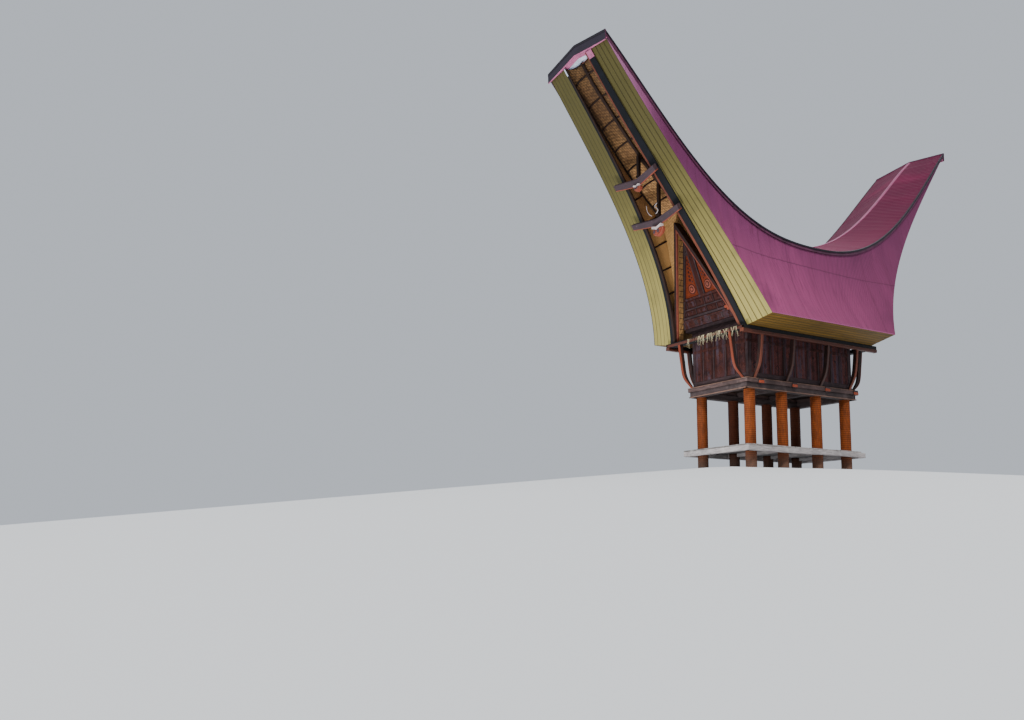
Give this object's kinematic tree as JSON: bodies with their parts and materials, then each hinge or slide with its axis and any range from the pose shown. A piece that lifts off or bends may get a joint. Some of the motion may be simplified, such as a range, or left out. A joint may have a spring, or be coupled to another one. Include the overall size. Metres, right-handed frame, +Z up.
{
  "type": "traditional rice barn",
  "caption": "Raised timber rice barn with carved walls, a sitting platform between round posts and a long upswept saddle roof with leaning gables.",
  "frame": {"origin": "centre of the ground area under the building, at ground level", "axes": "+Z up, ridge along Y with the front gable towards -Y, +X to the right seen from the front"},
  "size_m": [5.068, 15.256, 11.994],
  "materials": {
    "post_wood": "palm trunk, worn",
    "platform_wood": "weathered grey plank",
    "floor_beam_wood": "aged hardwood",
    "floor_wood": "rough plank",
    "wall_wood": "carved and painted board",
    "strut_wood": "painted edge, dark sides",
    "plate_wood": "painted beam",
    "roof_layers": "layered bamboo strips",
    "side_sheet": "faded corrugated sheet",
    "crest_sheet": "painted sheet",
    "pole_wood": "dark round timber",
    "soffit_mat": "woven bamboo mat",
    "verge_wood": "dark painted board",
    "gable_wood": "carved and painted board",
    "gable_frame_wood": "painted board",
    "yoke_wood": "painted beam"
  },
  "bodies": {
    "root": {"floor": "floor_wood", "floor_frame": "floor_beam_wood", "front_wall": "wall_wood", "gable_frame_front": "gable_frame_wood", "gable_frame_rear": "gable_frame_wood", "gable_panel_front": "gable_wood", "gable_panel_rear": "gable_wood", "left_wall": "wall_wood", "metal_side_left": "side_sheet", "metal_side_right": "side_sheet", "metal_top": "crest_sheet", "platform": "platform_wood", "post_left_1": "post_wood", "post_left_2": "post_wood", "post_left_3": "post_wood", "post_left_4": "post_wood", "post_right_1": "post_wood", "post_right_2": "post_wood", "post_right_3": "post_wood", "post_right_4": "post_wood", "rear_wall": "wall_wood", "ridge_pole": "pole_wood", "right_wall": "wall_wood", "roof_mass_left": "roof_layers", "roof_mass_right": "roof_layers", "roof_plates": "plate_wood", "soffit_mat_front": "soffit_mat", "soffit_mat_rear": "soffit_mat", "strut_front_left": "strut_wood", "strut_front_right": "strut_wood", "strut_left_1": "strut_wood", "strut_left_2": "strut_wood", "strut_left_3": "strut_wood", "strut_left_4": "strut_wood", "strut_rear_left": "strut_wood", "strut_rear_right": "strut_wood", "strut_right_1": "strut_wood", "strut_right_2": "strut_wood", "strut_right_3": "strut_wood", "strut_right_4": "strut_wood", "verge_boards_front": "verge_wood", "verge_boards_rear": "verge_wood", "yoke_front_lower": "yoke_wood", "yoke_front_upper": "yoke_wood", "yoke_rear_lower": "yoke_wood", "yoke_rear_upper": "yoke_wood"}
  },
  "joints": []
}
